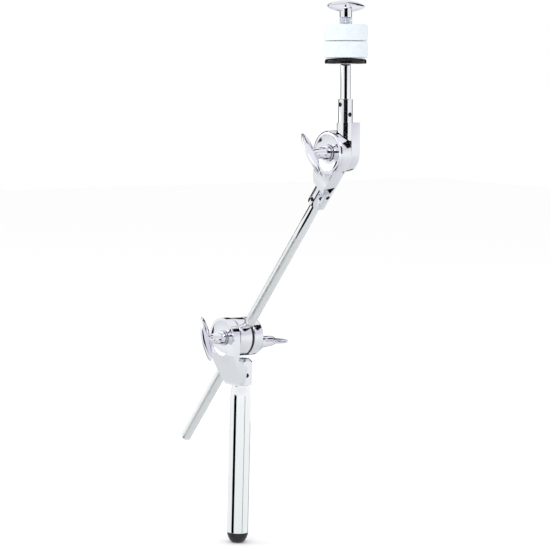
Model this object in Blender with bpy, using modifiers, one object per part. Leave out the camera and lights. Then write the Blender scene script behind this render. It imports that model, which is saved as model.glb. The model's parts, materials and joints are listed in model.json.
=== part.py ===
"""Cymbal boom arm: a post tube, a clamp hub, a boom rod, a tilter and a cymbal seat.

Frame: the origin is the centre of the foot cap's bottom face and +Z runs up the post. The post, the
boom rod and the cymbal rod all lie in the plane Y = 0, and both tilt axes run along Y.
Sizes are in millimetres here and become metres in MM.
"""

import math

import bmesh
import bpy
from mathutils import Matrix

MM = 0.001

# Fits
GAP = 0.3  # between pieces that rest on each other
BORE_PLAY = 0.25  # radial, round a rod or stud
TILT_PLAY = 0.5  # radial, between a moving piece and what it swings past

# Post
POST_RADIUS = 9.525
POST_WALL = 1.5
POST_TAPER_START = 135.5
POST_TAPER_LENGTH = 10.0
POST_NECK_RADIUS = 8.0
SPIGOT_RADIUS = 6.9
FOOT_EXPOSED = 8.6
FOOT_TIP_RADIUS = 5.4
FOOT_PLUG_LENGTH = 14.0

# Lower yoke, the casting on top of the post
YOKE_BOTTOM = 146.6
YOKE_SOCKET_HEIGHT = 23.8
YOKE_SOCKET_RADIUS = 10.2
YOKE_SOCKET_FLAT = 9.0
YOKE_SOCKET_CHAMFER = 2.6
POST_END_INSET = 1.5
LOWER_EAR_RADIUS = 18.3
LOWER_EAR_FRONT = -23.3
LOWER_EAR_THICKNESS = 7.0
LOWER_ARM_FOOT_HALF_WIDTH = 9.0
DISH_DEPTH = 1.8
DISH_RIM = 2.4

# Hub, the two half shells that hold the boom rod
HUB_RADIUS = 17.6
HUB_CLEARANCE = 3.0
HUB_EDGE_ROUND = 1.0
BRAKE_THICKNESS = 0.8
CLAMP_SLIT = 2.4
CAP_THICKNESS = 10.2
PAD_INSET = 0.8
STUD_RADIUS = 4.0
STUD_BITE = 5.8
BOLT_RADIUS = 3.5
BOLT_CLEARANCE = 0.4
BOLT_BITE = 7.5
NUT_WASHER_RADIUS = 8.0
NUT_WASHER_THICKNESS = 1.5

# Boom rod
BOOM_ANGLE = 52.0
BOOM_RADIUS = 4.75
BOOM_BELOW_CLAMP = 134.0
BOOM_TO_TILTER = 216.5
ROD_CHAMFER = 0.6

# Upper yoke, the casting on the boom's upper end
BOOM_OFFSET = 7.0
UPPER_DISC_RADIUS = 19.2
UPPER_DISC_THICKNESS = 12.2
TONGUE_LENGTH = 27.0
TONGUE_TAPER = 8.0
TONGUE_SIDE = 2.2
UPPER_EDGE_ROUND = 2.2
BOOM_SOCKET_RADIUS = 8.25
BOOM_SOCKET_END = 53.0
SOCKET_STOP = 24.0
GRUB_RADIUS = 1.75
GRUB_LENGTH = 3.2
GRUB_FROM_MOUTH = 5.5
GRUB_PITCH = 8.4
GRUB_HEX_RADIUS = 1.1
GRUB_HEX_DEPTH = 0.9

# Rod holder, the casting that carries the cymbal rod
HOLDER_TILT = -2.0
ROD_OFFSET = 9.3
HOLDER_EAR_THICKNESS = 9.5
COLUMN_RADIUS = 7.4
COLUMN_TOP = 26.0
NECK_RADIUS = 6.15
NECK_TOP = 46.3
HOLDER_GRUB_HEIGHTS = (41.6, 33.0)

# Cymbal rod and seat
CYMBAL_ROD_RADIUS = 4.3
CYMBAL_ROD_BOTTOM = 21.0
THREAD_RADIUS = 3.9
SEAT_HEIGHT = 77.7
COLLAR_RADIUS = 8.6
COLLAR_THICKNESS = 2.0
CUP_RADIUS = 17.9
CUP_THICKNESS = 2.3
SLEEVE_RADIUS = 5.3
SLEEVE_WALL = 1.1
FELT_RADIUS = 19.0
FELT_THICKNESS = 14.2
SLEEVE_ABOVE_FELTS = 5.6
FELT_PLAY = 0.5

# Wing castings
WING_LENGTH = 41.0
WING_HEIGHT = 10.2
WING_TIP_HEIGHT = 3.0
WING_WIDTH = 4.6
WING_HUB_RADIUS = 5.25
WING_HUB_LENGTH = 4.6
WING_BOSS_RADIUS = 5.8
WING_BOSS_LENGTH = 13.2
WING_BORE_DEPTH = 9.0
LOWER_WING_TURN = 20.0
UPPER_WING_TURN = 36.0
CLAMP_NUT_TURN = -5.0
TOP_NUT_TURN = 87.0
BOSS_WASHER_RADIUS = 7.0
BOSS_WASHER_THICKNESS = 1.0

# Facets round a full turn
FINE = 56
MEDIUM = 32
COARSE = 20

# Worked out from the values above
EAR_BACK = LOWER_EAR_FRONT + LOWER_EAR_THICKNESS
HUB_FRONT = EAR_BACK + GAP + BRAKE_THICKNESS + GAP
HUB_BACK = -CLAMP_SLIT / 2
CAP_FRONT = CLAMP_SLIT / 2
CAP_BACK = CAP_FRONT + CAP_THICKNESS
CHANNEL_RADIUS = BOOM_RADIUS + BORE_PLAY
BOLT_OFFSET = BOOM_RADIUS + BOLT_CLEARANCE + BOLT_RADIUS
NUT_FOOT = CAP_BACK + GAP + NUT_WASHER_THICKNESS + GAP
BOLT_TIP = NUT_FOOT + WING_BOSS_LENGTH + WING_HEIGHT * 0.3
YOKE_TOP = YOKE_BOTTOM + YOKE_SOCKET_HEIGHT
LOWER_PIVOT_HEIGHT = YOKE_TOP + HUB_CLEARANCE + HUB_RADIUS
DISC_BACK = -(BRAKE_THICKNESS + GAP) / 2 - GAP / 2
DISC_FRONT = DISC_BACK - UPPER_DISC_THICKNESS
EAR_FRONT = -DISC_BACK
HOLDER_EAR_RADIUS = ROD_OFFSET + COLUMN_RADIUS
HOLDER_EAR_BACK = EAR_FRONT + HOLDER_EAR_THICKNESS
CUP_BOTTOM = SEAT_HEIGHT + COLLAR_THICKNESS / 2 + GAP
CUP_TOP = CUP_BOTTOM + CUP_THICKNESS
LOWER_FELT_BOTTOM = CUP_TOP + GAP
UPPER_FELT_BOTTOM = LOWER_FELT_BOTTOM + FELT_THICKNESS + GAP
FELTS_TOP = UPPER_FELT_BOTTOM + FELT_THICKNESS
SLEEVE_TOP = FELTS_TOP + SLEEVE_ABOVE_FELTS
TOP_NUT_BOTTOM = SLEEVE_TOP + GAP
ROD_TOP = TOP_NUT_BOTTOM + WING_BORE_DEPTH - 1.0
BOOM_TURN = (0.0, math.radians(90.0 - BOOM_ANGLE), 0.0)

# Turns that lay a Z-built shape another way
UP = (0.0, 0.0, 0.0)
TO_PLUS_Y = (math.radians(-90.0), 0.0, 0.0)
TO_MINUS_Y = (math.radians(90.0), 0.0, 0.0)
TO_PLUS_X = (0.0, math.radians(90.0), 0.0)
FACE_ON = (math.radians(90.0), 0.0, 0.0)
EDGE_ON = (math.radians(90.0), 0.0, math.radians(90.0))


def clear_scene():
    for obj in list(bpy.data.objects):
        bpy.data.objects.remove(obj, do_unlink=True)


def new_collection(name):
    made = bpy.data.collections.new(name)
    bpy.context.scene.collection.children.link(made)
    return made


def new_material(name, colour, roughness, metallic, alpha=1.0):
    made = bpy.data.materials.new(name)
    made.use_nodes = True
    shader = made.node_tree.nodes["Principled BSDF"]
    shader.inputs["Base Color"].default_value = (*colour, 1.0)
    shader.inputs["Roughness"].default_value = roughness
    shader.inputs["Metallic"].default_value = metallic
    shader.inputs["Alpha"].default_value = alpha
    made.diffuse_color = (*colour, alpha)
    return made


def new_frame(name, place, turn=UP, parent=None):
    frame = bpy.data.objects.new(name, None)
    frame.empty_display_size = 0.01
    parts.objects.link(frame)
    frame.parent = parent
    frame.location = [value * MM for value in place]
    frame.rotation_euler = turn
    return frame


def put(obj, parent, place, turn, home):
    home.objects.link(obj)
    obj.parent = parent
    obj.location = [value * MM for value in place]
    obj.rotation_euler = turn
    return obj


def finish(obj, material):
    obj.data.materials.clear()
    obj.data.materials.append(material)
    for polygon in obj.data.polygons:
        polygon.use_smooth = True
    obj.data.set_sharp_from_angle(angle=math.radians(28.0))
    return obj


def cylinder(name, radius, low, high, facets, parent, place=(0, 0, 0), turn=UP, home=None):
    """A round bar along its own Z from low to high."""
    mesh = bpy.data.meshes.new(name)
    shape = bmesh.new()
    bmesh.ops.create_cone(
        shape,
        cap_ends=True,
        segments=facets,
        radius1=radius * MM,
        radius2=radius * MM,
        depth=(high - low) * MM,
    )
    bmesh.ops.translate(shape, verts=shape.verts, vec=(0, 0, (low + high) / 2 * MM))
    shape.to_mesh(mesh)
    shape.free()
    return put(bpy.data.objects.new(name, mesh), parent, place, turn, home or parts)


def box(name, low, high, parent, place=(0, 0, 0), turn=UP, home=None):
    mesh = bpy.data.meshes.new(name)
    shape = bmesh.new()
    bmesh.ops.create_cube(shape, size=1.0)
    size = [(b - a) * MM for a, b in zip(low, high)]
    middle = [(b + a) / 2 * MM for a, b in zip(low, high)]
    bmesh.ops.scale(shape, vec=size, verts=shape.verts)
    bmesh.ops.translate(shape, vec=middle, verts=shape.verts)
    shape.to_mesh(mesh)
    shape.free()
    return put(bpy.data.objects.new(name, mesh), parent, place, turn, home or parts)


def turned(name, profile, facets, parent, place=(0, 0, 0), turn=UP, home=None, ring=False):
    """A lathe shape round its own Z from (radius, height) points that run down the outer side."""
    mesh = bpy.data.meshes.new(name)
    points = [(radius * MM, 0.0, height * MM) for radius, height in profile]
    edges = [(i, i + 1) for i in range(len(points) - 1)]
    if ring:
        edges.append((len(points) - 1, 0))
    mesh.from_pydata(points, edges, [])
    obj = put(bpy.data.objects.new(name, mesh), parent, place, turn, home or parts)
    screw = obj.modifiers.new("turn", "SCREW")
    screw.steps = facets
    screw.render_steps = facets
    screw.use_merge_vertices = True
    screw.merge_threshold = 0.00001
    screw.use_smooth_shade = True
    baked = bpy.data.meshes.new_from_object(obj.evaluated_get(bpy.context.evaluated_depsgraph_get()))
    obj.modifiers.clear()
    obj.data = baked
    return obj


def plate(name, outline, low, high, parent, place=(0, 0, 0), turn=FACE_ON, home=None):
    """A flat outline in its own XY, filled and drawn out along its own Z from low to high."""
    curve = bpy.data.curves.new(name, "CURVE")
    curve.dimensions = "2D"
    curve.fill_mode = "BOTH"
    curve.extrude = (high - low) / 2 * MM
    spline = curve.splines.new("POLY")
    spline.points.add(len(outline) - 1)
    for point, (x, y) in zip(spline.points, outline):
        point.co = (x * MM, y * MM, 0.0, 1.0)
    spline.use_cyclic_u = True
    drawn = bpy.data.objects.new(name + "_outline", curve)
    cutters.objects.link(drawn)
    mesh = bpy.data.meshes.new_from_object(drawn.evaluated_get(bpy.context.evaluated_depsgraph_get()))
    bpy.data.objects.remove(drawn, do_unlink=True)
    shape = bmesh.new()
    shape.from_mesh(mesh)
    bmesh.ops.remove_doubles(shape, verts=shape.verts, dist=0.000002)
    bmesh.ops.translate(shape, verts=shape.verts, vec=(0, 0, (low + high) / 2 * MM))
    bmesh.ops.recalc_face_normals(shape, faces=shape.faces)
    shape.to_mesh(mesh)
    shape.free()
    return put(bpy.data.objects.new(name, mesh), parent, place, turn, home or parts)


def arc(centre, radius, start, end, steps):
    """Points on a circle from start to end degrees, both included."""
    turns = [math.radians(start + (end - start) * i / steps) for i in range(steps + 1)]
    return [(centre[0] + radius * math.cos(t), centre[1] + radius * math.sin(t)) for t in turns]


def combine(obj, other, operation):
    """Applies one exact Boolean and drops the second object."""
    bpy.context.view_layer.update()
    modifier = obj.modifiers.new(operation.lower(), "BOOLEAN")
    modifier.operation = operation
    modifier.solver = "EXACT"
    modifier.object = other
    baked = bpy.data.meshes.new_from_object(obj.evaluated_get(bpy.context.evaluated_depsgraph_get()))
    obj.modifiers.clear()
    obj.data = baked
    bpy.data.objects.remove(other, do_unlink=True)
    return obj


def cut(obj, *others):
    for other in others:
        combine(obj, other, "DIFFERENCE")
    return obj


def join(obj, *others):
    for other in others:
        combine(obj, other, "UNION")
    return obj


def keep_within(obj, *others):
    for other in others:
        combine(obj, other, "INTERSECT")
    return obj


def soften(obj, width, segments=2, angle=35.0):
    """Rounds the sharp edges of a plain shape before it is cut."""
    bevel = obj.modifiers.new("soften", "BEVEL")
    bevel.width = width * MM
    bevel.segments = segments
    bevel.limit_method = "ANGLE"
    bevel.angle_limit = math.radians(angle)
    baked = bpy.data.meshes.new_from_object(obj.evaluated_get(bpy.context.evaluated_depsgraph_get()))
    obj.modifiers.clear()
    obj.data = baked
    return obj


def washer(name, outer, inner, low, high, parent, place, turn, material, facets=MEDIUM):
    profile = [(inner, high), (outer, high), (outer, low), (inner, low)]
    return finish(turned(name, profile, facets, parent, place, turn, ring=True), material)


def rounded_disc(outer, low, high, rounding):
    """Outer half profile of a disc whose two rims are rounded, from the axis down to the axis."""
    top = arc((outer - rounding, high - rounding), rounding, 90.0, 0.0, 3)
    bottom = arc((outer - rounding, low + rounding), rounding, 0.0, -90.0, 3)
    return [(0.0, high), *top, *bottom, (0.0, low)]


def make_post():
    inside = POST_RADIUS - POST_WALL
    spigot_inside = SPIGOT_RADIUS - POST_WALL
    shoulder = YOKE_BOTTOM - GAP
    taper_end = POST_TAPER_START + POST_TAPER_LENGTH
    top = YOKE_TOP - POST_END_INSET
    tube = turned(
        "post_tube",
        [
            (spigot_inside, top),
            (SPIGOT_RADIUS, top),
            (SPIGOT_RADIUS, shoulder),
            (POST_NECK_RADIUS, shoulder),
            (POST_NECK_RADIUS, taper_end),
            (POST_RADIUS, POST_TAPER_START),
            (POST_RADIUS, FOOT_EXPOSED + GAP),
            (inside, FOOT_EXPOSED + GAP),
            (inside, POST_TAPER_START),
            (spigot_inside, taper_end),
        ],
        FINE,
        None,
        ring=True,
    )
    finish(tube, chrome)
    plug = inside - BORE_PLAY
    cap = turned(
        "foot_cap",
        [
            (0.0, FOOT_EXPOSED + FOOT_PLUG_LENGTH),
            (plug, FOOT_EXPOSED + FOOT_PLUG_LENGTH),
            (plug, FOOT_EXPOSED),
            (POST_RADIUS, FOOT_EXPOSED),
            (POST_RADIUS - 0.3, FOOT_EXPOSED - 2.6),
            (POST_RADIUS - 1.3, FOOT_EXPOSED - 5.0),
            (POST_RADIUS - 2.7, FOOT_EXPOSED - 7.2),
            (FOOT_TIP_RADIUS, 0.0),
            (0.0, 0.0),
        ],
        MEDIUM,
        None,
    )
    finish(cap, black_plastic)


def grub_screw(name, parent, place, turn):
    """A socket set screw; its hexagon faces its own +Z and its outer end sits at its origin."""
    screw = cylinder(name, GRUB_RADIUS, -GRUB_LENGTH, 0.0, COARSE, parent, place, turn)
    hexagon = cylinder(
        name + "_hex", GRUB_HEX_RADIUS, -GRUB_HEX_DEPTH, 1.0, 6, parent, place, turn, cutters
    )
    return finish(cut(screw, hexagon), black_steel)


def grub_hole(parent, place, turn, depth):
    """The hole that a set screw stands in, open outwards."""
    radius = GRUB_RADIUS + BORE_PLAY
    return cylinder("hole", radius, -depth, 6.0, COARSE, parent, place, turn, cutters)


def lower_arm_outline():
    """Front view of the yoke's arm: the ear's half circle over two quarter ellipses that meet the foot."""
    drop = LOWER_PIVOT_HEIGHT - YOKE_BOTTOM
    spread = LOWER_EAR_RADIUS - LOWER_ARM_FOOT_HALF_WIDTH
    steps = 14
    left = []
    for i in range(1, steps + 1):
        turn = math.pi / 2 * i / steps
        left.append((-LOWER_ARM_FOOT_HALF_WIDTH - spread * math.cos(turn), -drop * math.sin(turn)))
    right = [(-x, z) for x, z in reversed(left)]
    return arc((0.0, 0.0), LOWER_EAR_RADIUS, 0.0, 180.0, 24) + left + right


def lower_arm_section():
    """Side view of the yoke's arm as (depth, height): upright ear, then sloping in to the socket."""
    top = LOWER_EAR_RADIUS + 1.0
    foot = YOKE_BOTTOM - LOWER_PIVOT_HEIGHT
    front_knee = -LOWER_EAR_RADIUS + 3.5
    back_knee = -HUB_RADIUS - 2.0
    inner = -YOKE_SOCKET_RADIUS * 0.55
    return [
        (LOWER_EAR_FRONT, top),
        (LOWER_EAR_FRONT, front_knee),
        (-YOKE_SOCKET_RADIUS, foot + 2.0),
        (-YOKE_SOCKET_RADIUS, foot),
        (inner, foot),
        (inner, YOKE_TOP - LOWER_PIVOT_HEIGHT - 6.0),
        (EAR_BACK, back_knee),
        (EAR_BACK, top),
    ]


def make_lower_yoke():
    stem = plate("lower_yoke", lower_arm_outline(), -40.0, 40.0, lower_pivot)
    side = plate("side", lower_arm_section(), -30.0, 30.0, lower_pivot, turn=EDGE_ON, home=cutters)
    keep_within(stem, side)
    chamfer = YOKE_SOCKET_CHAMFER
    rim = YOKE_SOCKET_RADIUS
    socket = turned(
        "socket",
        [
            (0.0, YOKE_TOP),
            (rim - chamfer, YOKE_TOP),
            (rim, YOKE_TOP - chamfer),
            (rim, YOKE_BOTTOM),
            (0.0, YOKE_BOTTOM),
        ],
        FINE,
        None,
        home=cutters,
    )
    flat = YOKE_SOCKET_FLAT
    slab = box("slab", (-flat, -20, YOKE_BOTTOM - 1), (flat, 20, YOKE_TOP + 1), None, home=cutters)
    keep_within(socket, slab)
    join(stem, socket)
    tube_bore = cylinder(
        "bore", SPIGOT_RADIUS + BORE_PLAY, YOKE_BOTTOM - 5, YOKE_TOP + 20, MEDIUM, None, home=cutters
    )
    stud_bore = cylinder(
        "bore", STUD_RADIUS + BORE_PLAY, -40, 0, MEDIUM, lower_pivot, turn=TO_PLUS_Y, home=cutters
    )
    dish = cylinder(
        "dish",
        LOWER_EAR_RADIUS - DISH_RIM,
        -LOWER_EAR_FRONT - DISH_DEPTH,
        40,
        FINE,
        lower_pivot,
        turn=TO_MINUS_Y,
        home=cutters,
    )
    grub_place = (YOKE_SOCKET_FLAT - 0.4, 0.0, YOKE_BOTTOM + GRUB_FROM_MOUTH + 3.6)
    cut(stem, tube_bore, stud_bore, dish, grub_hole(None, grub_place, TO_PLUS_X, 6.0))
    finish(stem, chrome_casting)
    grub = grub_screw("yoke_set_screw", None, grub_place, TO_PLUS_X)
    grub.data.transform(shrink_to(YOKE_SOCKET_FLAT - 0.4 - SPIGOT_RADIUS - GAP))


def shrink_to(length):
    """Fits a set screw's length to the wall that it stands in."""
    return Matrix.Diagonal((1.0, 1.0, length / GRUB_LENGTH, 1.0))


def make_lower_brake():
    washer(
        "lower_brake_disc",
        HUB_RADIUS - PAD_INSET,
        STUD_RADIUS + BORE_PLAY,
        EAR_BACK + GAP,
        EAR_BACK + GAP + BRAKE_THICKNESS,
        lower_pivot,
        (0, 0, 0),
        TO_PLUS_Y,
        friction_fibre,
        FINE,
    )


def rod_channel(name, parent):
    return cylinder(name, CHANNEL_RADIUS, -40, 40, MEDIUM, parent, turn=BOOM_TURN, home=cutters)


def bolt_hole():
    radius = BOLT_RADIUS + BORE_PLAY
    low = HUB_BACK - BOLT_BITE
    return cylinder("bolt_hole", radius, low, 40.0, MEDIUM, clamp_axis, turn=TO_PLUS_Y, home=cutters)


def make_hub():
    drum = turned(
        "hub_drum",
        rounded_disc(HUB_RADIUS, HUB_FRONT, HUB_BACK, HUB_EDGE_ROUND),
        FINE,
        lower_pivot,
        turn=TO_PLUS_Y,
    )
    stud_bore = cylinder(
        "bore",
        STUD_RADIUS + BORE_PLAY,
        HUB_FRONT - 5,
        HUB_FRONT + STUD_BITE,
        MEDIUM,
        lower_pivot,
        turn=TO_PLUS_Y,
        home=cutters,
    )
    cut(drum, rod_channel("channel", lower_pivot), stud_bore, bolt_hole())
    finish(drum, chrome_casting)
    cap = turned(
        "clamp_cap",
        rounded_disc(HUB_RADIUS, CAP_FRONT, CAP_BACK, HUB_EDGE_ROUND),
        FINE,
        lower_pivot,
        turn=TO_PLUS_Y,
    )
    cut(cap, rod_channel("channel", lower_pivot), bolt_hole())
    finish(cap, chrome_casting)


def make_pads():
    """Two half-moon pads that fill the clamp's slit above and below the rod."""
    half = CLAMP_SLIT / 2 - GAP
    inner = CHANNEL_RADIUS + GAP
    reach = 60.0
    for name, low, high in (("clamp_pad_upper", -inner, reach), ("clamp_pad_lower", -reach, inner)):
        pad = cylinder(name, HUB_RADIUS - PAD_INSET, -half, half, FINE, lower_pivot, turn=TO_PLUS_Y)
        strip = box("strip", (low, -5, -reach), (high, 5, reach), lower_pivot, turn=BOOM_TURN, home=cutters)
        cut(pad, strip)
        if name == "clamp_pad_lower":
            cut(pad, bolt_hole())
        finish(pad, friction_fibre)


def make_clamp_bolt():
    """The stud bolt that draws the two shells together; it is screwed in the drum and passes beside the rod."""
    bolt = cylinder(
        "clamp_bolt",
        BOLT_RADIUS,
        HUB_BACK - BOLT_BITE + GAP,
        BOLT_TIP,
        MEDIUM,
        clamp_axis,
        turn=TO_PLUS_Y,
    )
    finish(bolt, zinc_steel)
    washer(
        "clamp_washer",
        NUT_WASHER_RADIUS,
        BOLT_RADIUS + BORE_PLAY,
        CAP_BACK + GAP,
        CAP_BACK + GAP + NUT_WASHER_THICKNESS,
        clamp_axis,
        (0, 0, 0),
        TO_PLUS_Y,
        zinc_steel,
    )


def wing_outline():
    """The bar of a wing: two long bowed edges between blunt ends, as (along, up) from its foot."""
    half = WING_LENGTH / 2
    blunt = WING_TIP_HEIGHT / 2
    middle = WING_HEIGHT / 2
    rise = middle - blunt
    steps = 12
    upper = []
    for i in range(steps + 1):
        along = half - WING_LENGTH * i / steps
        upper.append((along, middle + blunt + rise * math.cos(along / half * math.pi / 2)))
    lower = [(-along, WING_HEIGHT - up) for along, up in upper]
    return upper + lower


def wing(name, boss_radius, boss_length, bore_radius, bore_depth, parent, place, turn, bar_turn):
    """A wing casting that stands on its own origin: a boss along +Z that carries the bowed bar."""
    outline = [(along, up + boss_length) for along, up in wing_outline()]
    half = WING_WIDTH / 2
    bar = plate(name, outline, -half, half, parent, place, turn)
    upright = Matrix.Rotation(math.radians(bar_turn), 4, "Z") @ Matrix.Rotation(math.pi / 2, 4, "X")
    bar.data.transform(upright)
    soften(bar, 0.9, 2)
    boss = turned(
        name + "_boss",
        [
            (0.0, boss_length + WING_HEIGHT * 0.45),
            (WING_HUB_RADIUS * 0.8, boss_length + WING_HEIGHT * 0.45),
            (WING_HUB_RADIUS, boss_length),
            (boss_radius, boss_length * 0.45),
            (boss_radius, 0.0),
            (0.0, 0.0),
        ],
        MEDIUM,
        parent,
        place,
        turn,
        cutters,
    )
    join(bar, boss)
    bore = cylinder(name + "_bore", bore_radius, -1.0, bore_depth, MEDIUM, parent, place, turn, cutters)
    cut(bar, bore)
    return finish(bar, chrome_casting)


def make_lower_wing():
    """The tilt screw of the hub: it goes through the yoke's ear and bites in the drum."""
    seat = LOWER_EAR_FRONT + DISH_DEPTH
    washer(
        "lower_tilt_washer",
        BOSS_WASHER_RADIUS,
        STUD_RADIUS + BORE_PLAY,
        seat - GAP - BOSS_WASHER_THICKNESS,
        seat - GAP,
        lower_pivot,
        (0, 0, 0),
        TO_PLUS_Y,
        zinc_steel,
    )
    boss_foot = seat - 2 * GAP - BOSS_WASHER_THICKNESS
    stud_bore = STUD_RADIUS + BORE_PLAY
    wing(
        "lower_tilt_wing",
        WING_BOSS_RADIUS,
        WING_BOSS_LENGTH,
        stud_bore,
        WING_BORE_DEPTH,
        lower_pivot,
        (0, boss_foot, 0),
        TO_MINUS_Y,
        90.0 + LOWER_WING_TURN,
    )
    stud = cylinder(
        "lower_tilt_stud",
        STUD_RADIUS,
        boss_foot - WING_BORE_DEPTH + GAP,
        HUB_FRONT + STUD_BITE - GAP,
        MEDIUM,
        lower_pivot,
        turn=TO_PLUS_Y,
    )
    finish(stud, zinc_steel)


def make_clamp_wing():
    wing(
        "clamp_wing_nut",
        WING_BOSS_RADIUS,
        WING_BOSS_LENGTH,
        BOLT_RADIUS + BORE_PLAY,
        BOLT_TIP + GAP - NUT_FOOT,
        clamp_axis,
        (0, NUT_FOOT, 0),
        TO_PLUS_Y,
        CLAMP_NUT_TURN,
    )


def make_boom():
    low = -BOOM_BELOW_CLAMP
    high = BOOM_TO_TILTER - SOCKET_STOP - GAP
    chamfer = ROD_CHAMFER
    rod = turned(
        "boom_rod",
        [
            (0.0, high),
            (BOOM_RADIUS - chamfer, high),
            (BOOM_RADIUS, high - chamfer),
            (BOOM_RADIUS, low + chamfer),
            (BOOM_RADIUS - chamfer, low),
            (0.0, low),
        ],
        MEDIUM,
        boom_axis,
    )
    finish(rod, chrome)


def tongue_outline():
    """Front view of the tongue that leads from the disc to the boom socket."""
    near = BOOM_OFFSET - BOOM_SOCKET_RADIUS
    far = BOOM_OFFSET + BOOM_SOCKET_RADIUS
    end = TONGUE_LENGTH + TONGUE_TAPER
    return [
        (far + TONGUE_SIDE, 0.0),
        (far + TONGUE_SIDE, -TONGUE_LENGTH + 4.0),
        (far, -end),
        (near, -end),
        (near - 1.2, -TONGUE_LENGTH),
        (near - 6.5, -UPPER_DISC_RADIUS + 3.0),
        (0.0, 0.0),
    ]


def make_upper_yoke():
    """Disc, tongue and boom socket in one casting; the socket's axis passes beside the tilt axis."""
    front_round = UPPER_EDGE_ROUND
    rim = arc((UPPER_DISC_RADIUS - front_round, DISC_FRONT + front_round), front_round, 0.0, -90.0, 4)
    back = arc((UPPER_DISC_RADIUS - HUB_EDGE_ROUND, DISC_BACK - HUB_EDGE_ROUND), HUB_EDGE_ROUND, 90.0, 0.0, 3)
    yoke = turned(
        "upper_yoke",
        [(0.0, DISC_BACK), *back, *rim, (0.0, DISC_FRONT)],
        FINE,
        boom_head,
        turn=TO_PLUS_Y,
    )
    end = TONGUE_LENGTH + TONGUE_TAPER
    tongue = plate("tongue", tongue_outline(), -20.0, 20.0, boom_head, home=cutters)
    slope = [
        (DISC_FRONT + 0.4, 1.0),
        (DISC_FRONT + 0.4, -TONGUE_LENGTH),
        (-BOOM_SOCKET_RADIUS + 0.6, -end - 1.0),
        (DISC_BACK - 0.1, -end - 1.0),
        (DISC_BACK - 0.1, 1.0),
    ]
    side = plate("side", slope, -40.0, 40.0, boom_head, turn=EDGE_ON, home=cutters)
    keep_within(tongue, side)
    place = (BOOM_OFFSET, 0, 0)
    socket = cylinder(
        "socket",
        BOOM_SOCKET_RADIUS,
        -BOOM_SOCKET_END,
        -UPPER_DISC_RADIUS * 0.6,
        FINE,
        boom_head,
        place,
        home=cutters,
    )
    swing = cylinder(
        "swing",
        HOLDER_EAR_RADIUS + TILT_PLAY,
        DISC_BACK - 0.2,
        40,
        FINE,
        boom_head,
        turn=TO_PLUS_Y,
        home=cutters,
    )
    cut(socket, swing)
    join(yoke, tongue, socket)
    rod_bore = cylinder(
        "bore",
        CHANNEL_RADIUS,
        -BOOM_SOCKET_END - 5,
        -SOCKET_STOP,
        MEDIUM,
        boom_head,
        place,
        home=cutters,
    )
    stud_bore = cylinder(
        "bore", STUD_RADIUS + BORE_PLAY, -40, 10, MEDIUM, boom_head, turn=TO_PLUS_Y, home=cutters
    )
    dish = cylinder(
        "dish",
        UPPER_DISC_RADIUS - DISH_RIM - UPPER_EDGE_ROUND / 2,
        -DISC_FRONT - DISH_DEPTH,
        60,
        FINE,
        boom_head,
        turn=TO_MINUS_Y,
        home=cutters,
    )
    height = -BOOM_SOCKET_END + GRUB_FROM_MOUTH
    reach = BOOM_SOCKET_RADIUS - 0.3
    front_place = (BOOM_OFFSET, -reach, height)
    side_place = (BOOM_OFFSET + reach, 0, height + GRUB_PITCH)
    cut(
        yoke,
        rod_bore,
        stud_bore,
        dish,
        grub_hole(boom_head, front_place, TO_MINUS_Y, 6.0),
        grub_hole(boom_head, side_place, TO_PLUS_X, 6.0),
    )
    finish(yoke, chrome_casting)
    wall = shrink_to(reach - BOOM_RADIUS - GAP)
    grub_screw("socket_set_screw_front", boom_head, front_place, TO_MINUS_Y).data.transform(wall)
    grub_screw("socket_set_screw_side", boom_head, side_place, TO_PLUS_X).data.transform(wall)
    washer(
        "upper_brake_disc",
        HOLDER_EAR_RADIUS - PAD_INSET,
        STUD_RADIUS + BORE_PLAY,
        -BRAKE_THICKNESS / 2,
        BRAKE_THICKNESS / 2,
        boom_head,
        (0, 0, 0),
        TO_PLUS_Y,
        friction_fibre,
        FINE,
    )


def holder_outline():
    """Front view of the ear and the block that rises from it, whose outer side is the ear's tangent."""
    low_x = ROD_OFFSET - COLUMN_RADIUS
    start = math.degrees(math.acos(low_x / HOLDER_EAR_RADIUS))
    round_side = arc((0.0, 0.0), HOLDER_EAR_RADIUS, start, 360.0, 40)
    return [(HOLDER_EAR_RADIUS, COLUMN_TOP), (low_x, COLUMN_TOP), *round_side]


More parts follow.
